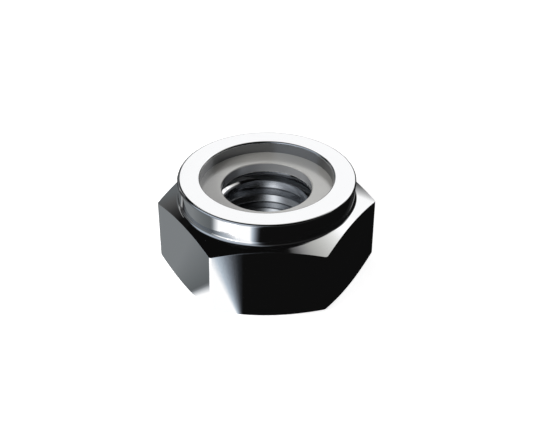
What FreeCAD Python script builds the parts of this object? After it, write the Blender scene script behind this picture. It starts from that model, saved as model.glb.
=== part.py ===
"""Hexagon lock nut: a steel body with a round collar, and a nylon ring held in the collar.

Lengths are in millimetres and angles in degrees. +Z is the thread's axis. The origin lies
on that axis in the bearing face, and two of the six flats face +Y and -Y.
"""
import FreeCAD, Part
import math
import os

# Hexagon
ACROSS_FLATS = 11.0
BEARING_DIAMETER = 10.5
LOWER_CHAMFER_ANGLE = 24.0
UPPER_CHAMFER_ANGLE = 22.2
UPRIGHT_EDGE_ROUNDING = 0.2

# Collar
TOTAL_HEIGHT = 5.92
COLLAR_HEIGHT = 1.32
COLLAR_SETBACK = 0.425
COLLAR_FLARE = 0.055
COLLAR_WALL = 0.635
COLLAR_FOOT_FILLET = 0.22
LIP_THICKNESS = 0.73
LIP_OVERHANG = 0.6
LIP_OUTER_ROUNDING = 0.16
LIP_INNER_ROUNDING = 0.12

# Threaded hole
THREAD_DIAMETER = 6.0
THREAD_DEPTH = 0.325
COUNTERSINK_SLOPE = 38.0
LOWER_RIM_CLEARANCE = 0.15
UPPER_RIM_CLEARANCE = 0.03
RECESS_DEPTH = 0.35

# Nylon ring
RING_THICKNESS = 0.635
RING_GRIP = 0.06
RING_RIM_CLEARANCE = 0.01
RING_RIM_BEVEL = 0.1
RING_BORE_ROUNDING = 0.07

# Blank that the hexagon is cut from
BLANK_MARGIN = 1.0

AXIS = FreeCAD.Vector(0, 0, 1)
ORIGIN = FreeCAD.Vector(0, 0, 0)
FLATS = 6
FULL_TURN = 360.0


def slope(angle):
    """Rise over run of a face at this angle to the bearing face."""
    return math.tan(math.radians(angle))


# Radii
FLAT_RADIUS = ACROSS_FLATS / 2
CORNER_RADIUS = FLAT_RADIUS / math.cos(math.pi / FLATS)
BLANK_RADIUS = CORNER_RADIUS + BLANK_MARGIN
BEARING_RADIUS = BEARING_DIAMETER / 2
FOOT_RADIUS = FLAT_RADIUS - COLLAR_SETBACK
LIP_OUTER_RADIUS = FOOT_RADIUS + COLLAR_FLARE
GROOVE_RADIUS = FOOT_RADIUS - COLLAR_WALL
LIP_INNER_RADIUS = GROOVE_RADIUS - LIP_OVERHANG
THREAD_RADIUS = THREAD_DIAMETER / 2
CREST_RADIUS = THREAD_RADIUS - THREAD_DEPTH
LOWER_RIM_RADIUS = THREAD_RADIUS + LOWER_RIM_CLEARANCE
UPPER_RIM_RADIUS = THREAD_RADIUS + UPPER_RIM_CLEARANCE
RING_RADIUS = GROOVE_RADIUS - RING_RIM_CLEARANCE
RING_BORE_RADIUS = CREST_RADIUS - RING_GRIP

# Heights above the bearing face
FOOT_Z = TOTAL_HEIGHT - COLLAR_HEIGHT
RING_TOP_Z = TOTAL_HEIGHT - LIP_THICKNESS
SEAT_Z = RING_TOP_Z - RING_THICKNESS
RECESS_Z = SEAT_Z - RECESS_DEPTH
UPPER_SINK_Z = RECESS_Z - (UPPER_RIM_RADIUS - CREST_RADIUS) * slope(COUNTERSINK_SLOPE)
LOWER_SINK_Z = (LOWER_RIM_RADIUS - CREST_RADIUS) * slope(COUNTERSINK_SLOPE)


def in_section(across, along):
    """Point of a half section, which is drawn in the XZ plane."""
    return FreeCAD.Vector(across, 0, along)


def in_plan(across, along):
    """Point of a plan, which is drawn in the XY plane."""
    return FreeCAD.Vector(across, along, 0)


def corner_points(before, here, after, radius):
    """First, middle and last point of the arc that rounds one corner."""
    back = (before - here).normalize()
    onward = (after - here).normalize()
    half_angle = back.getAngle(onward) / 2
    inward = (back + onward).normalize()
    setback = radius / math.tan(half_angle)
    middle = radius / math.sin(half_angle) - radius
    return here + back * setback, here + inward * middle, here + onward * setback


def outline_face(corners, place):
    """Face inside straight sides, with each corner given as across, along and rounding."""
    points = [place(across, along) for across, along, radius in corners]
    rounded = []
    for index, (across, along, radius) in enumerate(corners):
        here = points[index]
        if radius > 0:
            before = points[index - 1]
            after = points[(index + 1) % len(points)]
            rounded.append(corner_points(before, here, after, radius))
        else:
            rounded.append((here, None, here))
    edges = []
    for index, (first, middle, last) in enumerate(rounded):
        if middle is not None:
            edges.append(Part.Arc(first, middle, last).toShape())
        following = rounded[(index + 1) % len(rounded)][0]
        edges.append(Part.LineSegment(last, following).toShape())
    return Part.Face(Part.Wire(edges))


def turned(corners):
    """Solid of revolution with this half section."""
    return outline_face(corners, in_section).revolve(ORIGIN, AXIS, FULL_TURN)


def hexagon_bar():
    """Hexagonal bar as tall as the nut, with rounded upright edges."""
    corners = []
    for index in range(FLATS):
        angle = 2 * math.pi * index / FLATS
        across = CORNER_RADIUS * math.cos(angle)
        along = CORNER_RADIUS * math.sin(angle)
        corners.append((across, along, UPRIGHT_EDGE_ROUNDING))
    return outline_face(corners, in_plan).extrude(AXIS * TOTAL_HEIGHT)


def turned_blank():
    """Nut as it comes off the lathe: chamfers, collar, groove, recess and threaded hole.

    The hole is bored to the thread's crests.
    """
    lower_chamfer_z = (BLANK_RADIUS - BEARING_RADIUS) * slope(LOWER_CHAMFER_ANGLE)
    upper_chamfer_z = FOOT_Z - (BLANK_RADIUS - FOOT_RADIUS) * slope(UPPER_CHAMFER_ANGLE)
    return turned([
        (CREST_RADIUS, LOWER_SINK_Z, 0),
        (LOWER_RIM_RADIUS, 0, 0),
        (BEARING_RADIUS, 0, 0),
        (BLANK_RADIUS, lower_chamfer_z, 0),
        (BLANK_RADIUS, upper_chamfer_z, 0),
        (FOOT_RADIUS, FOOT_Z, COLLAR_FOOT_FILLET),
        (LIP_OUTER_RADIUS, TOTAL_HEIGHT, LIP_OUTER_ROUNDING),
        (LIP_INNER_RADIUS, TOTAL_HEIGHT, LIP_INNER_ROUNDING),
        (LIP_INNER_RADIUS, RING_TOP_Z, 0),
        (GROOVE_RADIUS, RING_TOP_Z, 0),
        (GROOVE_RADIUS, SEAT_Z, 0),
        (UPPER_RIM_RADIUS, SEAT_Z, 0),
        (UPPER_RIM_RADIUS, RECESS_Z, 0),
        (CREST_RADIUS, UPPER_SINK_Z, 0),
    ])


def nut_body():
    """Steel body in one piece: hexagon, collar and the lip that holds the ring down."""
    return turned_blank().common(hexagon_bar())


def nylon_insert():
    """Flat nylon ring between the seat and the lip; its bore is tighter than the thread's crests."""
    return turned([
        (RING_BORE_RADIUS, SEAT_Z, RING_BORE_ROUNDING),
        (RING_RADIUS - RING_RIM_BEVEL, SEAT_Z, 0),
        (RING_RADIUS, SEAT_Z + RING_RIM_BEVEL, 0),
        (RING_RADIUS, RING_TOP_Z - RING_RIM_BEVEL, 0),
        (RING_RADIUS - RING_RIM_BEVEL, RING_TOP_Z, 0),
        (RING_BORE_RADIUS, RING_TOP_Z, RING_BORE_ROUNDING),
    ])


def save(name, shape):
    """Write one piece, after a check that it is a single sound solid."""
    if len(shape.Solids) != 1 or not shape.isValid():
        raise ValueError(name + " is not one sound solid")
    shape.Solids[0].exportStep(os.path.join("parts", name + ".step"))


os.makedirs("parts", exist_ok=True)
save("nut_body", nut_body())
save("nylon_insert", nylon_insert())
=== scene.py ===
"""Looks of the hexagon lock nut: polished steel body with its thread, and the nylon ring."""
import math

import bpy
from bpy.props import FloatProperty, FloatVectorProperty, PointerProperty
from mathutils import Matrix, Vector


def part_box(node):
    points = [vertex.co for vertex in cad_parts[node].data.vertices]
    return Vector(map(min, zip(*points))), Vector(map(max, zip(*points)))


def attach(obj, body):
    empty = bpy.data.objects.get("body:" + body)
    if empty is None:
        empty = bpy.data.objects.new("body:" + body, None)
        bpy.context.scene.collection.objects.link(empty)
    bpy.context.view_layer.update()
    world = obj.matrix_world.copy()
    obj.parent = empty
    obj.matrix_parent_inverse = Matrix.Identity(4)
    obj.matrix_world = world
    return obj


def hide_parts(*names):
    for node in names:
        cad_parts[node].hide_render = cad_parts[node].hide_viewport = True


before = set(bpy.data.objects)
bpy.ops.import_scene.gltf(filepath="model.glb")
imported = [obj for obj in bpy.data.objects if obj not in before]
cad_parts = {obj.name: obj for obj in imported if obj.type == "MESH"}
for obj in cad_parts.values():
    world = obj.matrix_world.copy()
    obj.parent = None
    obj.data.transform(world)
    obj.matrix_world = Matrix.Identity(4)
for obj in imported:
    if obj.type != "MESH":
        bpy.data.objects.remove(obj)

bl_info = {
    "name": "Lock nut with nylon ring",
    "version": (1, 0, 0),
    "blender": (4, 5, 0),
    "location": "3D View > Sidebar > Lock nut",
    "description": "Builds a hexagon lock nut and its nylon ring over the packed part",
    "category": "Object",
}

MM = 0.001
UP = Vector((0, 0, 1))
FULL_TURN = 2 * math.pi
FLATS = 6
SECTOR = FULL_TURN / FLATS
HALF_SECTOR = SECTOR / 2
FLANK_ANGLE = math.radians(30)

# Places of the body's finishes and of the ring's in their lists
POLISHED, THREAD, SHADED_TURNED, DRAWN, GROOVE, FLANK = range(6)
RING_FACE, RING_BORE = range(2)

# Corners that agree to this many decimals of a metre are one
WELD_DECIMALS = 9
# How far inside a stretch's ends its sides are compared, as a share of it
NUDGE = 1e-6

BODY_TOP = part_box("nut_body")[1].z
RING_LOW, RING_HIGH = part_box("nylon_insert")


# Sizes, colours and finishes


def length(label, about, millimetres):
    """A size in metres with its default given in millimetres."""
    return FloatProperty(
        name=label, description=about, default=millimetres * MM, min=0,
        unit="LENGTH", subtype="DISTANCE", precision=6,
    )


def angle(label, about, degrees):
    """An angle with its default given in degrees."""
    return FloatProperty(
        name=label, description=about, default=math.radians(degrees),
        unit="ROTATION", subtype="ANGLE",
    )


def share(label, about, value):
    """A number between nothing and one."""
    return FloatProperty(
        name=label, description=about, default=value, min=0, max=1, subtype="FACTOR",
    )


def strength(label, about, value):
    """A plain number that is never negative."""
    return FloatProperty(name=label, description=about, default=value, min=0, subtype="NONE")


def colour(label, about, value):
    """A linear colour."""
    return FloatVectorProperty(
        name=label, description=about, default=value, size=3, min=0, max=1, subtype="COLOR",
    )


class NutSizes(bpy.types.PropertyGroup):
    """Sizes of the steel body and its thread."""

    across_flats: length("Across flats", "Width between two opposite flats", 11.0)
    bearing_diameter: length("Bearing diameter", "Flat face that the nut stands on", 10.5)
    lower_chamfer: angle("Lower chamfer", "Angle of the chamfer under the hexagon", 24.0)
    upper_chamfer: angle("Upper chamfer", "Angle of the chamfer above the hexagon", 22.2)
    upright_rounding: length("Upright edges", "Rounding of the six upright edges", 0.2)
    edge_rounding: length("Chamfer edges", "Rounding where a chamfer meets a flat", 0.02)
    collar_height: length("Collar height", "From the upper chamfer to the top of the lip", 1.32)
    collar_setback: length("Collar setback", "From a flat in to the foot of the collar", 0.425)
    collar_flare: length("Collar flare", "How far the collar leans out at its top", 0.055)
    collar_wall: length("Collar wall", "Steel outside the ring's groove", 0.635)
    foot_fillet: length("Foot fillet", "Hollow rounding at the foot of the collar", 0.22)
    lip_thickness: length("Lip thickness", "Height of the lip above the ring", 0.73)
    lip_overhang: length("Lip overhang", "How far the lip reaches in over the ring", 0.6)
    lip_outer_rounding: length("Lip outer edge", "Rounding of the outer edge on top", 0.16)
    lip_inner_rounding: length("Lip inner edge", "Rounding of the inner edge on top", 0.12)
    thread_diameter: length("Thread diameter", "Diameter across the thread's roots", 6.0)
    thread_depth: length("Thread depth", "Height of the thread from root to crest", 0.325)
    thread_pitch: length("Thread pitch", "Rise of the thread in one turn", 1.0)
    thread_root: length("Thread root", "Width of the flat at the bottom of the groove", 0.125)
    thread_start: length("Thread start", "Height of a crest's upper edge on the +Y side", 2.919)
    crest_rounding: length("Crest edges", "Rounding of the thread's crest edges", 0.03)
    sink_slope: angle("Countersink slope", "Slope of both countersinks", 38.0)
    lower_rim: length("Lower rim", "How far the lower countersink is wider than the thread", 0.15)
    upper_rim: length("Upper rim", "How far the recess is wider than the thread", 0.03)
    # Painted shade: from its foot up, this share of the upper countersink takes the groove's dark
    # steel, which is also a little rougher
    sink_shade_share: share("Countersink edge", "Share of the upper countersink left dull", 0.2)
    recess_depth: length("Recess depth", "Plain wall between the thread and the ring", 0.35)


class RingSizes(bpy.types.PropertyGroup):
    """Sizes of the nylon ring."""

    grip: length("Grip", "How far the bore is tighter than the thread's crests", 0.06)
    rim_bevel: length("Rim bevel", "Bevel of the two outer edges", 0.1)
    bore_rounding: length("Bore edges", "Rounding of the two edges of the bore", 0.07)


class Finishes(bpy.types.PropertyGroup):
    """Colours and gloss of the steel and the nylon."""

    steel: colour("Steel", "Colour of the polished steel", (0.95, 0.955, 0.965))
    steel_roughness: share("Steel roughness", "Blur of reflections on the steel", 0.05)
    # Painted shade: the faces inside the collar are a darker copy of the steel, for the shade in
    # that recess; their turning lines and blur are the real finish
    turned: colour("Turned bore", "Colour of the faces inside the collar", (0.31, 0.318, 0.33))
    turned_roughness: share("Turned roughness", "Blur of reflections on those faces", 0.07)
    thread: colour("Thread", "Colour of the cut thread", (0.78, 0.795, 0.82))
    thread_roughness: share("Thread roughness", "Blur of reflections on the thread", 0.14)
    # Painted shade: the groove and the flanks that face up are darker copies of the thread's
    # steel, for the shade between the crests
    groove: colour("Thread groove", "Colour at the thread's roots", (0.13, 0.135, 0.145))
    flank: colour("Thread flank", "Colour of the flanks that face up", (0.47, 0.48, 0.495))
    cloud_size: length("Cloud size", "Size of the faint patches in the polish", 1.6)
    line_spacing: length("Line spacing", "Spacing of the fine turning lines", 0.07)
    line_depth: length("Line depth", "Depth of the fine lines on polished faces", 0.0003)
    thread_line_depth: length("Thread lines", "Depth of the fine lines on the thread", 0.0004)
    nylon: colour("Nylon", "Colour of the nylon ring", (0.46, 0.452, 0.43))
    # Painted shade: the ring's bore is a darker copy of the nylon, for the shade in the hole
    shaded_nylon_bore: colour("Nylon bore", "Colour of the ring's bore", (0.25, 0.254, 0.26))
    nylon_roughness: share("Nylon roughness", "Blur of reflections on the nylon", 0.22)
    nylon_gloss: strength("Nylon gloss", "Refractive index of the nylon's polished skin", 2.6)
    grain_size: length("Grain size", "Size of the nylon's fine grain", 0.12)
    grain_depth: length("Grain depth", "Depth of the nylon's fine grain", 0.0012)


class Studio(bpy.types.PropertyGroup):
    """Floor, surroundings, softbox and camera."""

    floor: colour("Floor", "Colour of the floor", (0.8, 0.8, 0.8))
    aim_height: length("Aim height", "Height of the point that the camera looks at", 2.5857)
    aim_across: length("Aim across", "How far left of the axis the camera looks", 0.012)
    distance: length("Distance", "From that point to the camera", 62.05)
    elevation: angle("Elevation", "Height of the camera above the horizon", 34.208)
    azimuth: angle("Azimuth", "How far the camera stands to the left of the front", 0.8825)
    lens: strength("Lens", "Focal length in millimetres on a 36 mm sensor", 71.14)
    floor_glow: share("Floor glow", "How white the floor shows by itself", 0.84)
    ambient: share("Ambient", "Light that comes evenly from all round", 0.28)
    key_level: strength("Key level", "Brightness of the softbox against white", 13.6)
    key_heading: angle("Key heading", "Direction of the softbox from the nut", 208)
    key_rise: angle("Key rise", "Height of the softbox above the horizon", 27)
    key_distance: length("Key distance", "From the nut to the softbox", 130)
    key_width: length("Key width", "Width of the softbox", 105)
    key_height: length("Key height", "Height of the softbox", 40)


# Meshes with exact corner normals


class Skin:
    """Faces of one piece, welded where they meet, each with its own corner normals."""

    def __init__(self):
        self.points = []
        self.number = {}
        self.faces = []
        self.normals = []
        self.finishes = []

    def corner(self, point):
        """Number of the corner at this point."""
        key = tuple(round(value, WELD_DECIMALS) for value in point)
        if key not in self.number:
            self.number[key] = len(self.points)
            self.points.append(point)
        return self.number[key]

    def add(self, corners, finish=0):
        """Add one face of this finish; each corner is a point and the normal there."""
        kept = []
        for point, normal in corners:
            number = self.corner(point)
            if all(number != other for other, _ in kept):
                kept.append((number, normal))
        if len(kept) < 3:
            return
        first, second, third = (self.points[number] for number, _ in kept[:3])
        if len(kept) == 4:
            fourth = self.points[kept[3][0]]
            facing = (third - first).cross(fourth - second)
        else:
            facing = (second - first).cross(third - first)
        if facing.dot(sum((normal for _, normal in kept), Vector())) < 0:
            kept.reverse()
        self.faces.append([number for number, _ in kept])
        self.finishes.append(finish)
        self.normals.extend(normal.normalized() for _, normal in kept)

    def strip(self, here, there, finish=0):
        """Add the quads of this finish between two columns that have the same rows."""
        for row in range(len(here) - 1):
            self.add([here[row], there[row], there[row + 1], here[row + 1]], finish)

    def finish(self, name, body_node, slot, materials):
        """Make the object, put it on the body and hide the imported part of its node."""
        mesh = bpy.data.meshes.new(name)
        mesh.from_pydata(self.points, [], self.faces)
        mesh.polygons.foreach_set("use_smooth", [True] * len(self.faces))
        mesh.normals_split_custom_set(self.normals)
        for material in materials:
            mesh.materials.append(material)
        mesh.polygons.foreach_set("material_index", self.finishes)
        piece = bpy.data.objects.new(name, mesh)
        bpy.context.scene.collection.objects.link(piece)
        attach(piece, "root")
        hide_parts(body_node)


def section_spans(corners, steps=6):
    """Straight and rounded stretches of a section, which is walked with the outside on the right.

    Each corner is radius, height, rounding, and how far the stretch after it takes its
    direction from the hexagon's flats and not from the axis. The result is a list of
    stretches of radius, height, outward part, upward part and that share.
    """
    count = len(corners)
    places = [Vector((radius, height)) for radius, height, _, _ in corners]
    ends = []
    for index, (_, _, rounding, _) in enumerate(corners):
        here = places[index]
        if rounding == 0 or index in (0, count - 1):
            ends.append((here, here))
            continue
        back = (places[index - 1] - here).normalized()
        onward = (places[index + 1] - here).normalized()
        half = back.angle(onward) / 2
        reach = rounding / math.tan(half)
        ends.append((here + back * reach, here + onward * reach))
    spans = []
    for index in range(count - 1):
        start, stop = ends[index][1], ends[index + 1][0]
        course = (places[index + 1] - places[index]).normalized()
        out, rise = course.y, -course.x
        weight = corners[index][3]
        spans.append([(*start, out, rise, weight), (*stop, out, rise, weight)])
        if ends[index + 1][0] == ends[index + 1][1]:
            continue
        onward = (places[index + 2] - places[index + 1]).normalized()
        following = (onward.y, -onward.x, corners[index + 1][3])
        spans.append(arc_points(ends[index + 1], (out, rise, weight), following, steps))
    return spans


def arc_points(ends, before, after, steps):
    """Points of the arc between two tangent stretches, with the normal turning along it."""
    first, last = ends
    start, stop = Vector(before[:2]), Vector(after[:2])
    turn = start.angle_signed(stop)
    chord = last - first
    radius = chord.length / (2 * abs(math.sin(turn / 2)))
    bulge = 1 if (stop - start).dot(chord) > 0 else -1
    centre = first - start * radius * bulge
    points = []
    for step in range(steps + 1):
        part = step / steps
        heading = math.atan2(start.y, start.x) - turn * part
        normal = Vector((math.cos(heading), math.sin(heading)))
        weight = before[2] + (after[2] - before[2]) * part
        points.append((*(centre + normal * radius * bulge), *normal, weight))
    return points


class Column:
    """One upright half plane through the axis, and where it cuts the hexagon."""

    def __init__(self, heading, flat_radius=0.0, rounding=0.0):
        self.heading = heading
        self.out = Vector((math.cos(heading), math.sin(heading), 0))
        offset = (heading + HALF_SECTOR) % SECTOR - HALF_SECTOR
        middle = heading - offset
        if flat_radius:
            self.radius, turned = hexagon_outline(offset, flat_radius, rounding)
            self.flat = Vector((math.cos(middle + turned), math.sin(middle + turned), 0))

    def place(self, radius, height):
        """Point in this half plane."""
        return self.out * radius + UP * height

    def lay(self, spans):
        """The spans of a section as points and normals in this half plane."""
        laid = []
        for span in spans:
            row = []
            for radius, height, out, rise, weight in span:
                level = self.out
                if weight:
                    level = self.out.lerp(self.flat, weight).normalized()
                row.append((self.place(radius, height), level * out + UP * rise))
            laid.append(row)
        return laid


def corner_reach(flat_radius, rounding):
    """Distance of a corner arc's centre from the axis, and half the angle that the arc spans."""
    centre = (flat_radius - rounding) / math.cos(HALF_SECTOR)
    span = math.atan2(rounding * math.sin(HALF_SECTOR),
                      centre + rounding * math.cos(HALF_SECTOR))
    return centre, span


def hexagon_outline(offset, flat_radius, rounding):
    """Radius of the hexagon at this angle from a corner, and the angle that its side faces."""
    centre, span = corner_reach(flat_radius, rounding)
    if abs(offset) >= span:
        side = math.copysign(HALF_SECTOR, offset)
        return flat_radius / math.cos(offset - side), side
    across = centre * math.sin(offset)
    radius = centre * math.cos(offset) + math.sqrt(rounding ** 2 - across ** 2)
    return radius, math.atan2(radius * math.sin(offset), radius * math.cos(offset) - centre)


def column_headings(flat_radius, rounding, on_corner=10, on_flat=38):
    """Angles of the columns: close together on the six corners and even on the flats."""
    _, span = corner_reach(flat_radius, rounding)
    headings = []
    for index in range(FLATS):
        corner = index * SECTOR
        for step in range(on_corner):
            headings.append(corner - span + 2 * span * step / on_corner)
        for step in range(on_flat):
            headings.append(corner + span + (SECTOR - 2 * span) * step / on_flat)
    return headings


# The threaded hole


class Hole:
    """Threaded hole with its two countersinks, as the radius of the opening at each place."""

    def __init__(self, sizes, recess_height):
        self.root = sizes.thread_diameter / 2
        self.crest = self.root - sizes.thread_depth
        self.pitch = sizes.thread_pitch
        self.start = sizes.thread_start
        self.steep = 1 / math.tan(FLANK_ANGLE)
        self.sink_steep = 1 / math.tan(sizes.sink_slope)
        self.low_rim = self.root + sizes.lower_rim
        self.high_rim = self.root + sizes.upper_rim
        self.top = recess_height
        self.sink_foot = self.top - (self.high_rim - self.crest) / self.sink_steep
        # Top of the band of painted shade at the foot of the upper countersink
        self.sink_shade_top = self.sink_foot + sizes.sink_shade_share * (self.top - self.sink_foot)
        flank = sizes.thread_depth / self.steep
        half = sizes.crest_rounding
        over = half * math.sin(FLANK_ANGLE)
        self.bevel = half * math.cos(FLANK_ANGLE)
        root_end = flank + sizes.thread_root
        groove = root_end + flank
        # Height above a crest's upper edge, and the radius there
        self.shape = [
            (-half, self.crest),
            (over, self.crest + self.bevel),
            (flank, self.root),
            (root_end, self.root),
            (groove - over, self.crest + self.bevel),
            (groove + half, self.crest),
            (self.pitch - half, self.crest),
        ]

    def thread_base(self, heading):
        """Height of a crest's upper edge at this heading."""
        turn = (heading - math.pi / 2) / FULL_TURN
        return self.start + self.pitch * turn

    def thread_radius(self, heading, height):
        """Radius of the thread alone, and how fast it grows with height."""
        lowest = self.shape[0][0]
        above = (height - self.thread_base(heading) - lowest) % self.pitch + lowest
        for (low, inner), (high, outer) in zip(self.shape, self.shape[1:]):
            if low <= above <= high:
                growth = (outer - inner) / (high - low)
                return inner + growth * (above - low), growth
        return self.crest, 0.0

    def sink_radius(self, height):
        """Radius of the two countersinks, and how fast it grows with height."""
        low = self.low_rim - height * self.sink_steep
        high = self.high_rim - (self.top - height) * self.sink_steep
        return (low, -self.sink_steep) if low > high else (high, self.sink_steep)

    def breaks(self, heading):
        """Heights where the opening's section turns at this heading, from the top down."""
        base = self.thread_base(heading)
        overlap = self.low_rim - self.high_rim + self.top * self.sink_steep
        middle = overlap / (2 * self.sink_steep)
        heights = {0.0, self.top, self.sink_shade_top, middle}
        first = math.floor(-base / self.pitch) - 1
        last = math.ceil((self.top - base) / self.pitch) + 1
        for turn in range(first, last + 1):
            for above, _ in self.shape[:-1]:
                height = base + turn * self.pitch + above
                if 0 < height < self.top:
                    heights.add(height)
        ordered = sorted(heights)
        crossings = []
        for low, high in zip(ordered, ordered[1:]):
            nudge = (high - low) * NUDGE
            before = self.lead(heading, low + nudge)
            after = self.lead(heading, high - nudge)
            if before * after < 0:
                crossings.append(low + (high - low) * before / (before - after))
        return sorted(ordered + crossings, reverse=True)

    def lead(self, heading, height):
        """How far the thread is wider than the countersinks; negative where it is narrower."""
        return self.thread_radius(heading, height)[0] - self.sink_radius(height)[0]

    def column(self, heading):
        """Heights and radii of the opening's section at this heading, from the top down."""
        points = []
        for height in self.breaks(heading):
            radius = max(self.thread_radius(heading, height)[0], self.sink_radius(height)[0])
            points.append((height, radius))
        return points

    def normal(self, heading, radius, region):
        """Normal at a corner of a face that lies in this region."""
        kind, growth = region
        out = Vector((math.cos(heading), math.sin(heading), 0))
        if kind == "sink":
            return UP * growth - out
        around = Vector((-math.sin(heading), math.cos(heading), 0))
        lean = self.pitch / (FULL_TURN * radius)
        if kind == "edge":
            part = min(max((radius - self.crest) / self.bevel, 0), 1)
            growth = math.copysign(self.steep * part, growth)
            flank = (UP - around * lean) * math.copysign(self.steep, growth) - out
            return (-out).lerp(flank.normalized(), part)
        return (UP - around * lean) * growth - out

    def region(self, heading, height):
        """What the opening's wall is at this place, and how fast its radius grows with height."""
        thread, growth = self.thread_radius(heading, height)
        sink, sink_growth = self.sink_radius(height)
        if sink > thread:
            return "sink", sink_growth
        if thread < self.crest + self.bevel and growth:
            return "edge", growth
        return "thread", growth


def close_hole(skin, hole, columns):
    """Add the wall of the threaded hole between each two neighbouring columns."""
    headings = [column.heading for column in columns]
    headings.append(headings[0] + FULL_TURN)
    lines = [hole.column(heading) for heading in headings]
    for index in range(len(headings) - 1):
        pair = (headings[index], headings[index + 1])
        left, right = lines[index], lines[index + 1]
        spots = [[wall_point(pair[side], spot) for spot in line]
                 for side, line in enumerate((left, right))]
        here = there = 0
        while here < len(left) - 1 or there < len(right) - 1:
            take_left = there == len(right) - 1
            if here < len(left) - 1 and there < len(right) - 1:
                down_left = (spots[0][here + 1] - spots[1][there]).length
                down_right = (spots[0][here] - spots[1][there + 1]).length
                take_left = down_left < down_right
            if take_left:
                trio = [(0, here), (1, there), (0, here + 1)]
                here += 1
            else:
                trio = [(0, here), (1, there), (1, there + 1)]
                there += 1
            add_wall_face(skin, hole, pair, (left, right), spots, trio)


def wall_point(heading, spot):
    """Point of the hole's wall from its height and radius at this heading."""
    height, radius = spot
    return Vector((radius * math.cos(heading), radius * math.sin(heading), height))


def add_wall_face(skin, hole, pair, lines, spots, trio):
    """Add one triangle of the hole's wall."""
    heading = sum(pair[side] for side, _ in trio) / 3
    height = sum(lines[side][row][0] for side, row in trio) / 3
    region = hole.region(heading, height)
    radius_there = hole.thread_radius(heading, height)[0]
    corners = []
    for side, row in trio:
        radius = lines[side][row][1]
        corners.append((spots[side][row], hole.normal(pair[side], radius, region)))
    # The roots and the flanks that face up take darker copies of the thread's steel: painted
    # shade
    finish = THREAD
    # The lower part of the upper countersink takes the groove's dark steel: painted shade, and a
    # little rougher too
    if region[0] == "sink":
        finish = GROOVE if hole.sink_foot < height < hole.sink_shade_top else POLISHED
    elif radius_there > hole.root - hole.bevel:
        finish = GROOVE
    elif region[1] > 0:
        finish = FLANK
    skin.add(corners, finish)


# Heights and radii that the pieces share


class Levels:
    """Radii and heights that follow from the nut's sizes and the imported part's box."""

    def __init__(self, sizes):
        self.flat = sizes.across_flats / 2
        self.top = BODY_TOP
        self.foot = self.flat - sizes.collar_setback
        self.lip_outer = self.foot + sizes.collar_flare
        self.groove = self.foot - sizes.collar_wall
        self.lip_inner = self.groove - sizes.lip_overhang
        self.foot_height = self.top - sizes.collar_height
        self.ring_top = self.top - sizes.lip_thickness
        self.seat = RING_LOW.z
        self.recess = self.seat - sizes.recess_depth
        self.ring_rim = RING_HIGH.x
        self.crest = sizes.thread_diameter / 2 - sizes.thread_depth


def body_section(sizes, levels, hole, outline):
    """Section of the body from the lower rim of the hole round to the recess's floor."""
    bearing = sizes.bearing_diameter / 2
    low = (outline - bearing) * math.tan(sizes.lower_chamfer)
    high = levels.foot_height - (outline - levels.foot) * math.tan(sizes.upper_chamfer)
    edge = sizes.edge_rounding
    return [
        (hole.low_rim, 0, 0, 0),
        (bearing, 0, edge, 0),
        (outline, low, edge, 1),
        (outline, high, edge, 0),
        (levels.foot, levels.foot_height, sizes.foot_fillet, 0),
        (levels.lip_outer, levels.top, sizes.lip_outer_rounding, 0),
        (levels.lip_inner, levels.top, sizes.lip_inner_rounding, 0),
        (levels.lip_inner, levels.ring_top, 0, 0),
        (levels.groove, levels.ring_top, 0, 0),
        (levels.groove, levels.seat, 0, 0),
        (hole.high_rim, levels.seat, 0, 0),
        (hole.high_rim, levels.recess, 0, 0),
    ]


def build_body(sizes, materials):
    """Steel body with rounded edges and a true helical thread."""
    levels = Levels(sizes)
    hole = Hole(sizes, levels.recess)
    skin = Skin()
    columns = [Column(heading, levels.flat, sizes.upright_rounding)
               for heading in column_headings(levels.flat, sizes.upright_rounding)]
    laid = [column.lay(section_spans(body_section(sizes, levels, hole, column.radius)))
            for column in columns]
    # The hexagon's flats are the fifth stretch and the lip's inner wall is the thirteenth
    flats, wall = 4, 12
    # From the lip's inner wall in, the faces inside the collar take the darker steel, which is
    # painted shade
    finishes = [POLISHED] * wall + [SHADED_TURNED] * (len(laid[0]) - wall)
    finishes[flats] = DRAWN
    for here, there in zip(laid, laid[1:] + laid[:1]):
        for finish, left, right in zip(finishes, here, there):
            skin.strip(left, right, finish)
    close_hole(skin, hole, columns)
    skin.finish("polished_body", "nut_body", "polished_steel", materials)


def build_ring(sizes, ring, materials, count=240):
    """Nylon ring with softened edges."""
    levels = Levels(sizes)
    bore = levels.crest - ring.grip
    low, high, rim = RING_LOW.z, RING_HIGH.z, levels.ring_rim
    bevel, soft = ring.rim_bevel, ring.rim_bevel / 3
    corners = [
        (bore, (low + high) / 2, 0, 0),
        (bore, low, ring.bore_rounding, 0),
        (rim - bevel, low, soft, 0),
        (rim, low + bevel, soft, 0),
        (rim, high - bevel, soft, 0),
        (rim - bevel, high, soft, 0),
        (bore, high, ring.bore_rounding, 0),
        (bore, (low + high) / 2, 0, 0),
    ]
    spans = section_spans(corners)
    skin = Skin()
    laid = [Column(FULL_TURN * index / count).lay(spans) for index in range(count)]
    # The bore's faces take the darker nylon, which is painted shade
    finishes = [RING_BORE] + [RING_FACE] * (len(spans) - 2) + [RING_BORE]
    for here, there in zip(laid, laid[1:] + laid[:1]):
        for finish, left, right in zip(finishes, here, there):
            skin.strip(left, right, finish)
    skin.finish("nylon_ring", "nylon_insert", "nylon", materials)


# Finishes


# Share of its own blur that a steel's finish wanders between
BLUR_SPREAD = (0.7, 1.3)
# Share of its own colour that the nylon's mottle wanders between
MOTTLE_SPREAD = (0.95, 1.05)
# Noise seldom leaves this range
NOISE_RANGE = (0.3, 0.7)
# Width of the drawn grain against the spacing of the turning lines
DRAWN_GRAIN = 3


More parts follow.
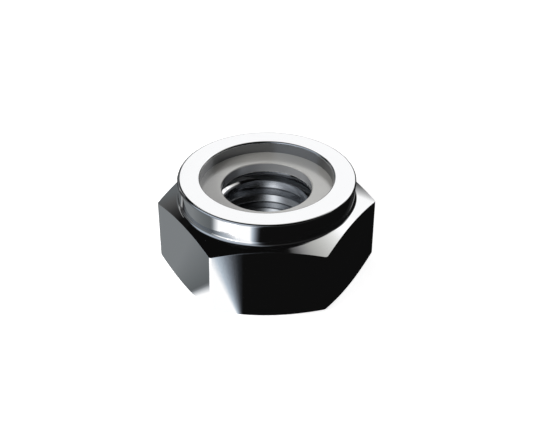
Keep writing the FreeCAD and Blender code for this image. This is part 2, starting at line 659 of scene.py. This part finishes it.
def new_material(name):
    """Material with an empty node tree, the tree's two lists and its output."""
    material = bpy.data.materials.new(name)
    material.use_nodes = True
    tree = material.node_tree
    tree.nodes.clear()
    output = tree.nodes.new("ShaderNodeOutputMaterial")
    return material, tree.nodes, tree.links, output


def reckon(nodes, links, kind, operation, *terms):
    """Results of one step of a sum, on plain values or other nodes' results."""
    node = nodes.new("ShaderNode" + kind)
    node.operation = operation
    for socket, term in zip(node.inputs, terms):
        if isinstance(term, bpy.types.NodeSocket):
            links.new(term, socket)
        else:
            socket.default_value = term
    return node.outputs


def rescaled(nodes, links, value, given, wanted=(0, 1)):
    """Number moved from one range into another, and held inside it."""
    scale = nodes.new("ShaderNodeMapRange")
    names = ("From Min", "From Max", "To Min", "To Max")
    for name, limit in zip(names, (*given, *wanted)):
        scale.inputs[name].default_value = limit
    links.new(value, scale.inputs["Value"])
    return scale.outputs["Result"]


def cloudy(nodes, links, size, least, most, detail=2.0):
    """Number that wanders between two values over the surface, in patches of this size."""
    place = nodes.new("ShaderNodeTexCoord")
    clouds = nodes.new("ShaderNodeTexNoise")
    clouds.inputs["Scale"].default_value = 1 / size
    clouds.inputs["Detail"].default_value = detail
    links.new(place.outputs["Object"], clouds.inputs["Vector"])
    return rescaled(nodes, links, clouds.outputs["Fac"], NOISE_RANGE, (least, most))


def turning_lines(nodes, links, spacing):
    """Fine lines that a lathe leaves, even round the axis."""
    place = nodes.new("ShaderNodeTexCoord").outputs["Object"]
    level = reckon(nodes, links, "VectorMath", "MULTIPLY", place, (1, 1, 0))["Vector"]
    out = reckon(nodes, links, "VectorMath", "LENGTH", level)["Value"]
    parts = nodes.new("ShaderNodeSeparateXYZ")
    links.new(place, parts.inputs["Vector"])
    reach = reckon(nodes, links, "Math", "ADD", out, parts.outputs["Z"])[0]
    lines = nodes.new("ShaderNodeTexNoise")
    lines.noise_dimensions = "1D"
    lines.inputs["Scale"].default_value = 1 / spacing
    lines.inputs["Detail"].default_value = 1.0
    links.new(reach, lines.inputs["W"])
    return lines.outputs["Fac"]


def raised(nodes, links, height, depth):
    """Normal of a surface with this fine relief."""
    bump = nodes.new("ShaderNodeBump")
    bump.inputs["Distance"].default_value = depth
    links.new(height, bump.inputs["Height"])
    return bump.outputs["Normal"]


def bright_steel(name, tint, roughness, finishes, depth, turned=True):
    """Bright steel, turned on a lathe or drawn, with faint clouds in its polish."""
    material, nodes, links, output = new_material(name)
    shader = nodes.new("ShaderNodeBsdfPrincipled")
    shader.inputs["Base Color"].default_value = (*tint, 1)
    shader.inputs["Metallic"].default_value = 1
    least, most = (part * roughness for part in BLUR_SPREAD)
    polish = cloudy(nodes, links, finishes.cloud_size, least, most)
    links.new(polish, shader.inputs["Roughness"])
    if turned:
        relief = turning_lines(nodes, links, finishes.line_spacing)
    else:
        relief = cloudy(nodes, links, DRAWN_GRAIN * finishes.line_spacing, 0, 1, 1.0)
    links.new(raised(nodes, links, relief, depth), shader.inputs["Normal"])
    links.new(shader.outputs["BSDF"], output.inputs["Surface"])
    return material


def glossy_nylon(name, tint, finishes):
    """Smooth nylon of this colour, faintly mottled, with the grain of its mould."""
    material, nodes, links, output = new_material(name)
    shader = nodes.new("ShaderNodeBsdfPrincipled")
    mottle = cloudy(nodes, links, finishes.cloud_size, 0, 1, 3.0)
    shades = [(place, [channel * part for channel in tint])
              for place, part in enumerate(MOTTLE_SPREAD)]
    links.new(ramp(nodes, links, mottle, shades), shader.inputs["Base Color"])
    shader.inputs["Roughness"].default_value = finishes.nylon_roughness
    shader.inputs["Coat Weight"].default_value = 1
    shader.inputs["Coat IOR"].default_value = finishes.nylon_gloss
    shader.inputs["Coat Roughness"].default_value = finishes.nylon_roughness
    grain = cloudy(nodes, links, finishes.grain_size, 0, 1)
    normal = raised(nodes, links, grain, finishes.grain_depth)
    links.new(normal, shader.inputs["Normal"])
    links.new(normal, shader.inputs["Coat Normal"])
    links.new(shader.outputs["BSDF"], output.inputs["Surface"])
    return material


# Stage


def grey(level):
    """Neutral colour of this brightness."""
    return (level,) * 3


WHITE = grey(1.05)
DARK = grey(0.0046)
BLACK = grey(0.0035)
LEFT, BACK, FRONT = (-1, 0, 0), (0, 1, 0), (0, -1, 0)
# Width in millimetres that the camera's lens is given for
SENSOR_WIDTH = 36
# Metres from the middle of the floor to its edges
FLOOR_REACH = 1.0
# Height in millimetres of the sheet over the nut
OVERHEAD = 150


def glow_material(name, shade, fade=None):
    """Material of a sheet that glows in a colour which nodes work out, and may fade out."""
    material, nodes, links, output = new_material(name)
    glow = nodes.new("ShaderNodeEmission")
    links.new(shade(nodes, links), glow.inputs["Color"])
    if fade is None:
        links.new(glow.outputs["Emission"], output.inputs["Surface"])
        return material
    clear = nodes.new("ShaderNodeBsdfTransparent")
    blend = nodes.new("ShaderNodeMixShader")
    links.new(fade(nodes, links), blend.inputs["Fac"])
    links.new(clear.outputs["BSDF"], blend.inputs[1])
    links.new(glow.outputs["Emission"], blend.inputs[2])
    links.new(blend.outputs["Shader"], output.inputs["Surface"])
    return material


def stage_sheet(name, points, faces, material, mirrored_only=True):
    """Sheet of the stage; a card that is mirrored only shows in the metal and nowhere else."""
    mesh = bpy.data.meshes.new(name)
    mesh.from_pydata([Vector(point) for point in points], [], faces)
    mesh.materials.append(material)
    sheet = bpy.data.objects.new(name, mesh)
    bpy.context.scene.collection.objects.link(sheet)
    if mirrored_only:
        for ray in ("camera", "diffuse", "shadow", "transmission", "volume_scatter"):
            setattr(sheet, "visible_" + ray, False)


def swept_card(name, rims, turn, steps, material):
    """Sheet swept round the axis between two rims.

    Each rim is a radius and a height in millimetres, and the turn is its first and last
    heading in degrees.
    """
    first, last = (math.radians(heading) for heading in turn)
    points, faces = [], []
    for step in range(steps + 1):
        heading = first + (last - first) * step / steps
        for radius, height in rims:
            points.append((radius * MM * math.cos(heading), radius * MM * math.sin(heading),
                           height * MM))
    for step in range(steps):
        corner = 2 * step
        faces.append([corner, corner + 1, corner + 3, corner + 2])
    stage_sheet(name, points, faces, material)


def ramp(nodes, links, value, stops):
    """Colours at these values of a number, blended in between."""
    low, high = stops[0][0], stops[-1][0]
    band = nodes.new("ShaderNodeValToRGB")
    elements = band.color_ramp.elements
    for index, (place, shade) in enumerate(stops):
        if index >= len(elements):
            elements.new(1)
        elements[index].position = (place - low) / (high - low)
        elements[index].color = (*shade, 1)
    links.new(rescaled(nodes, links, value, (low, high)), band.inputs["Fac"])
    return band.outputs["Color"]


def along(nodes, links, direction, offset=0.0):
    """Distance of a place along this direction from the nut's middle, in millimetres."""
    place = nodes.new("ShaderNodeTexCoord").outputs["Object"]
    steps = Vector(direction) / MM
    distance = reckon(nodes, links, "VectorMath", "DOT_PRODUCT", place, steps)["Value"]
    if not offset:
        return distance
    return reckon(nodes, links, "Math", "ADD", distance, offset)[0]


def divided(nodes, links, value, other, least=0.3):
    """One distance over another that is never below a least one, in millimetres."""
    divisor = reckon(nodes, links, "Math", "MAXIMUM", other, least)[0]
    return reckon(nodes, links, "Math", "DIVIDE", value, divisor)[0]


def picked(nodes, links, choice, kept, *others):
    """The lightest or the darkest of some colours, channel by channel."""
    for other in others:
        kept = reckon(nodes, links, "VectorMath", choice, kept, other)["Vector"]
    return kept


def seen_directly(nodes, links):
    """One for rays from the camera, off metal and through glass, and nothing for the rest."""
    rays = nodes.new("ShaderNodeLightPath").outputs
    seen = rays["Is Camera Ray"]
    for kind in ("Is Glossy Ray", "Is Transmission Ray"):
        seen = reckon(nodes, links, "Math", "MAXIMUM", seen, rays[kind])[0]
    return seen


def white_world(studio):
    """White surroundings that also light the object softly."""
    world = bpy.data.worlds.new("studio_white")
    bpy.context.scene.world = world
    world.use_nodes = True
    nodes, links = world.node_tree.nodes, world.node_tree.links
    nodes.clear()
    output = nodes.new("ShaderNodeOutputWorld")
    background = nodes.new("ShaderNodeBackground")
    background.inputs["Color"].default_value = (1, 1, 1, 1)
    level = rescaled(nodes, links, seen_directly(nodes, links), (0, 1), (studio.ambient, 1))
    links.new(level, background.inputs["Strength"])
    links.new(background.outputs["Background"], output.inputs["Surface"])


def build_camera(studio):
    """Camera at the photograph's viewing angle."""
    data = bpy.data.cameras.new("photo_camera")
    data.lens = studio.lens
    data.sensor_width = SENSOR_WIDTH
    data.clip_start, data.clip_end = MM, 10
    camera = bpy.data.objects.new("photo_camera", data)
    bpy.context.scene.collection.objects.link(camera)
    rise, swing = studio.elevation, studio.azimuth
    back = Vector((-math.sin(swing) * math.cos(rise), -math.cos(swing) * math.cos(rise),
                   math.sin(rise)))
    aim = Vector((-studio.aim_across, 0, studio.aim_height))
    camera.location = aim + back * studio.distance
    camera.rotation_mode = "QUATERNION"
    camera.rotation_quaternion = (-back).to_track_quat("-Z", "Y")
    bpy.context.scene.camera = camera


def build_floor(studio):
    """Pale floor that shows nearly white and takes the nut's shadow."""
    material, nodes, links, output = new_material("pale_floor")
    shader = nodes.new("ShaderNodeBsdfDiffuse")
    shader.inputs["Color"].default_value = (*studio.floor, 1)
    glow = nodes.new("ShaderNodeEmission")
    total = nodes.new("ShaderNodeAddShader")
    seen = seen_directly(nodes, links)
    level = reckon(nodes, links, "Math", "MULTIPLY", seen, studio.floor_glow)[0]
    links.new(level, glow.inputs["Strength"])
    links.new(shader.outputs["BSDF"], total.inputs[0])
    links.new(glow.outputs["Emission"], total.inputs[1])
    links.new(total.outputs["Shader"], output.inputs["Surface"])
    corners = [(x * FLOOR_REACH, y * FLOOR_REACH, 0)
               for x, y in ((-1, -1), (1, -1), (1, 1), (-1, 1))]
    stage_sheet("studio_floor", corners, [[0, 1, 2, 3]], material, mirrored_only=False)


def dark_card_shade(nodes, links):
    """Dark, but fading to white on the left in front, more softly the farther out."""
    across = along(nodes, links, LEFT, -1.42)
    width = along(nodes, links, (0, -0.345, 0), -1.64)
    edge = ramp(nodes, links, divided(nodes, links, across, width), [
        (0.0, DARK), (0.15, (0.022, 0.024, 0.028)), (0.3, (0.08, 0.088, 0.1)),
        (0.5, (0.22, 0.25, 0.29)), (0.75, (0.5, 0.57, 0.64)), (1.0, WHITE)])
    behind = ramp(nodes, links, along(nodes, links, BACK), [(0, WHITE), (1.5, DARK)])
    return picked(nodes, links, "MINIMUM", edge, behind)


def grey_card_shade(nodes, links):
    """White on the left in front of a slanting line, grey behind it, and dark at the back."""
    away = along(nodes, links, (-0.49, 0.87, 0), 0.84)
    reach = along(nodes, links, (-0.86, -0.51, 0), -3.0)
    edge = ramp(nodes, links, divided(nodes, links, away, reach, 1.0), [
        (-0.1, WHITE), (0.0, (0.56, 0.58, 0.6)), (0.08, (0.19, 0.205, 0.215)),
        (0.14, (0.115, 0.125, 0.13)), (0.3, (0.13, 0.142, 0.147)),
        (1.0, (0.205, 0.218, 0.225))])
    back = along(nodes, links, BACK)
    behind = ramp(nodes, links, back, [(3.2, WHITE), (4.0, grey(0.2)), (7.0, grey(0.045))])
    turn = divided(nodes, links, along(nodes, links, LEFT), back)
    beside = ramp(nodes, links, turn, [(0.14, DARK), (0.8, grey(0.045)), (1.2, WHITE)])
    return picked(nodes, links, "MINIMUM", behind, beside, edge)


def far_card_shade(nodes, links):
    """White close by, and farther out greyer towards the left."""
    turn = divided(nodes, links, along(nodes, links, LEFT), along(nodes, links, FRONT))
    beside = ramp(nodes, links, turn, [
        (0.3, WHITE), (0.58, (0.7, 0.76, 0.82)), (0.84, (0.5, 0.56, 0.62)),
        (1.24, (0.38, 0.42, 0.46)), (1.73, (0.24, 0.26, 0.28)), (2.14, (0.19, 0.2, 0.21))])
    out = along(nodes, links, (-0.77, -0.64, 0))
    near = ramp(nodes, links, out, [(70, WHITE), (125, grey(0.0))])
    return picked(nodes, links, "MAXIMUM", beside, near)


def bore_card_shade(nodes, links):
    """Bright wedge in front of the axis, with grey on its left and dark on its right."""
    turn = divided(nodes, links, along(nodes, links, LEFT), along(nodes, links, FRONT, 1.34))
    return ramp(nodes, links, turn, [
        (-0.6, DARK), (-0.31, grey(0.02)), (-0.12, (0.095, 0.1, 0.105)),
        (0.056, (0.42, 0.44, 0.46)), (0.24, (0.86, 0.89, 0.93)), (0.335, (0.96, 0.98, 1)),
        (0.44, (0.86, 0.89, 0.93)), (0.675, (0.5, 0.53, 0.56)), (1.0, (0.25, 0.26, 0.28)),
        (1.5, (0.17, 0.18, 0.19))])


# Name, inner and outer radius, height, headings and shade of each card on the floor
TABLE_CARDS = (
    ("dark_table_card", 4.2, 150, 0.01, (-122, 98), dark_card_shade),
    ("grey_table_card", 4.2, 150, 0.01, (98, 225), grey_card_shade),
    ("far_table_card", 70, 148, 0.02, (202, 238), far_card_shade),
    ("bore_card", 0, 4.1, 0.01, (0, 360), bore_card_shade),
)


def build_table_cards(steps=60):
    """Sheets on the floor that the upright faces and the thread mirror."""
    for name, inner, outer, height, turn, shade in TABLE_CARDS:
        rims = ((inner, height), (outer, height))
        swept_card(name, rims, turn, steps, glow_material(name, shade))


def overhead_shade(nodes, links):
    """White window behind the nut's middle, black before it, and a bluish one on the left."""

    def reach(across, onward):
        return along(nodes, links, (across / OVERHEAD, onward / OVERHEAD, 0))

    white = grey(1.06)
    back = ramp(nodes, links, reach(0.35, 0.94), [
        (0.208, BLACK), (0.23, grey(0.1)), (0.258, grey(0.16)), (0.275, grey(0.23)),
        (0.332, (0.37, 0.37, 0.355)), (0.415, (0.49, 0.49, 0.47)), (0.5, (0.61, 0.61, 0.59)),
        (0.633, (0.81, 0.81, 0.79)), (0.73, grey(0.98)), (0.82, white)])
    side = ramp(nodes, links, reach(0.81, 0.59), [(0.06, BLACK), (0.2, white)])
    front = ramp(nodes, links, reach(0, 1), [(0.0, BLACK), (0.12, white)])
    left = ramp(nodes, links, reach(-0.84, -0.545), [
        (0.28, grey(0.0)), (0.42, grey(0.012)), (0.6, (0.1, 0.114, 0.13)),
        (0.72, (0.26, 0.29, 0.33)), (0.86, (0.38, 0.42, 0.48)), (1.2, (0.4, 0.45, 0.52))])
    window = picked(nodes, links, "MINIMUM", back, side, front)
    return picked(nodes, links, "MAXIMUM", window, left)


def build_overhead_card():
    """Level sheet over the nut that the lip's top and the chamfers mirror."""
    # Corners as shares of the sheet's height
    corners = ((-1.4, -1.4), (1.35, -1.4), (1.35, 1.0), (-1.4, 1.0))
    points = [(x * OVERHEAD * MM, y * OVERHEAD * MM, OVERHEAD * MM) for x, y in corners]
    material = glow_material("overhead_flag", overhead_shade)
    stage_sheet("overhead_flag", points, [[0, 1, 2, 3]], material)


# Name, first and last heading, degrees that it fades out over at each end, radius, height,
# and colour at some heights of each upright card
UPRIGHT_CARDS = (
    ("dark_backdrop", 136, 266, (8, 3), 154, 150,
     [(0, grey(0.02)), (40, grey(0.012)), (100, BLACK)]),
    ("back_left_flag", 96.5, 142, (3, 6), 152, 150,
     [(0, (0.135, 0.143, 0.147)), (45, (0.12, 0.13, 0.135)), (65, grey(0.09)),
      (90, grey(0.035)), (120, grey(0.006))]),
    ("left_window", 160, 222, (11, 16), 150, 150,
     [(0, (0.07, 0.078, 0.085)), (40, (0.22, 0.25, 0.29)), (75, (0.36, 0.41, 0.47)),
      (130, (0.44, 0.49, 0.56)), (150, (0.38, 0.42, 0.48))]),
    ("front_left_window", 202, 266, (16, 4), 148, 150,
     [(0, (0.42, 0.47, 0.52)), (55, (0.42, 0.46, 0.52)), (100, (0.43, 0.48, 0.55)),
      (150, (0.38, 0.42, 0.48))]),
    ("front_flag", 248, 393, (13, 19), 146, 115,
     [(0, BLACK), (40, grey(0.009)), (80, grey(0.025)), (115, grey(0.02))]),
    ("low_flag", 50, 112, (8, 2), 149, 55,
     [(0, grey(0.03)), (24, grey(0.05)), (32, grey(0.145)), (40, grey(0.36)),
      (46, grey(0.54)), (50, grey(0.72)), (55, grey(1))]),
    ("low_left_flag", 145, 175, (9, 10), 147, 34,
     [(0, (0.08, 0.087, 0.092)), (16, (0.15, 0.163, 0.172)), (27, (0.13, 0.141, 0.15)),
      (34, grey(0.02))]),
    ("low_right_flag", 5, 62, (1, 2), 151, 52,
     [(0, grey(0.01)), (33, grey(0.02)), (46, grey(0.38)), (52, grey(0.95))]),
)


def build_upright_card(name, first, last, soft, radius, top, stops, steps=30):
    """Curved sheet round the nut that fades out at both ends."""
    middle, half = math.radians((first + last) / 2), (last - first) / 2
    beside = (-math.sin(middle) / radius, math.cos(middle) / radius, 0)
    edges = [(-half, 0.0), (-half + soft[0], 1.0), (half - soft[1], 1.0), (half, 0.0)]
    fades = [(math.sin(math.radians(turn)), grey(level)) for turn, level in edges]

    def upward(nodes, links):
        return ramp(nodes, links, along(nodes, links, UP), stops)

    def sideways(nodes, links):
        return ramp(nodes, links, along(nodes, links, beside), fades)

    rims = ((radius, 0), (radius, top))
    swept_card(name, rims, (first, last), steps, glow_material(name, upward, sideways))


def build_softbox(studio):
    """Soft lamp to the left front of the nut, which the metal doesn't mirror."""
    data = bpy.data.lights.new("key_softbox", "AREA")
    data.shape = "RECTANGLE"
    data.size = studio.key_width
    data.size_y = studio.key_height
    data.energy = studio.key_level * math.pi * studio.key_width * studio.key_height
    lamp = bpy.data.objects.new("key_softbox", data)
    bpy.context.scene.collection.objects.link(lamp)
    lamp.visible_glossy = False
    heading, rise = studio.key_heading, studio.key_rise
    towards = Vector((math.cos(heading) * math.cos(rise), math.sin(heading) * math.cos(rise),
                      math.sin(rise)))
    lamp.location = towards * studio.key_distance
    lamp.rotation_mode = "QUATERNION"
    lamp.rotation_quaternion = towards.to_track_quat("Z", "Y")


# Operators and panel


class BuildNutBody(bpy.types.Operator):
    """Build the polished steel body"""

    bl_idname = "lock_nut.build_body"
    bl_label = "Build steel body"

    def execute(self, context):
        scene = context.scene
        finishes = scene.lock_nut_finishes
        plain = (finishes.steel_roughness, finishes, finishes.line_depth)
        turned = (finishes.turned_roughness, finishes, finishes.line_depth)
        cut = (finishes.thread_roughness, finishes, finishes.thread_line_depth)
        # In the order of the body's finishes, POLISHED to FLANK
        build_body(scene.lock_nut_sizes, [
            bright_steel("polished_steel_finish", finishes.steel, *plain),
            bright_steel("cut_thread_finish", finishes.thread, *cut),
            # The faces inside the collar: the steel darkened as painted shade
            bright_steel("turned_bore_painted_shade", finishes.turned, *turned),
            bright_steel("drawn_flats_finish", finishes.steel, *plain, turned=False),
            # Darker copies of the thread's steel for its roots and upward flanks: painted shade
            bright_steel("thread_groove_painted_shade", finishes.groove, *cut),
            bright_steel("thread_flank_painted_shade", finishes.flank, *cut),
        ])
        return {"FINISHED"}


class BuildNylonRing(bpy.types.Operator):
    """Build the nylon ring"""

    bl_idname = "lock_nut.build_ring"
    bl_label = "Build nylon ring"

    def execute(self, context):
        scene = context.scene
        finishes = scene.lock_nut_finishes
        face = glossy_nylon("glossy_nylon_finish", finishes.nylon, finishes)
        # The ring's bore: the nylon darkened as painted shade
        bore = glossy_nylon("nylon_bore_finish", finishes.shaded_nylon_bore, finishes)
        build_ring(scene.lock_nut_sizes, scene.lock_nut_ring, [face, bore])
        return {"FINISHED"}


class BuildStage(bpy.types.Operator):
    """Build the floor, the light and the camera"""

    bl_idname = "lock_nut.build_stage"
    bl_label = "Build stage"

    def execute(self, context):
        scene = context.scene
        studio = scene.lock_nut_studio
        white_world(studio)
        build_floor(studio)
        build_table_cards()
        build_overhead_card()
        for card in UPRIGHT_CARDS:
            build_upright_card(*card)
        build_softbox(studio)
        build_camera(studio)
        scene.view_settings.view_transform = "Standard"
        return {"FINISHED"}


OPERATORS = (BuildNutBody, BuildNylonRing, BuildStage)
GROUPS = {
    "lock_nut_sizes": NutSizes,
    "lock_nut_ring": RingSizes,
    "lock_nut_finishes": Finishes,
    "lock_nut_studio": Studio,
}


class LockNutPanel(bpy.types.Panel):
    """Sizes, finishes and build steps of the lock nut"""

    bl_idname = "VIEW3D_PT_lock_nut"
    bl_label = "Lock nut"
    bl_space_type = "VIEW_3D"
    bl_region_type = "UI"
    bl_category = "Lock nut"

    def draw(self, context):
        for name, group in GROUPS.items():
            box = self.layout.box()
            for field in group.__annotations__:
                box.prop(getattr(context.scene, name), field)
        for operator in OPERATORS:
            self.layout.operator(operator.bl_idname)


def register():
    """Add the classes and the scene's settings."""
    for item in (*GROUPS.values(), *OPERATORS, LockNutPanel):
        bpy.utils.register_class(item)
    for name, group in GROUPS.items():
        setattr(bpy.types.Scene, name, PointerProperty(type=group))


def unregister():
    """Take them away again."""
    for name in GROUPS:
        delattr(bpy.types.Scene, name)
    for item in reversed((*GROUPS.values(), *OPERATORS, LockNutPanel)):
        bpy.utils.unregister_class(item)


def main():
    """Build the pieces and the stage."""
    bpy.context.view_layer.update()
    register()
    bpy.ops.lock_nut.build_body()
    bpy.ops.lock_nut.build_ring()
    bpy.ops.lock_nut.build_stage()


if __name__ == "__main__":
    main()
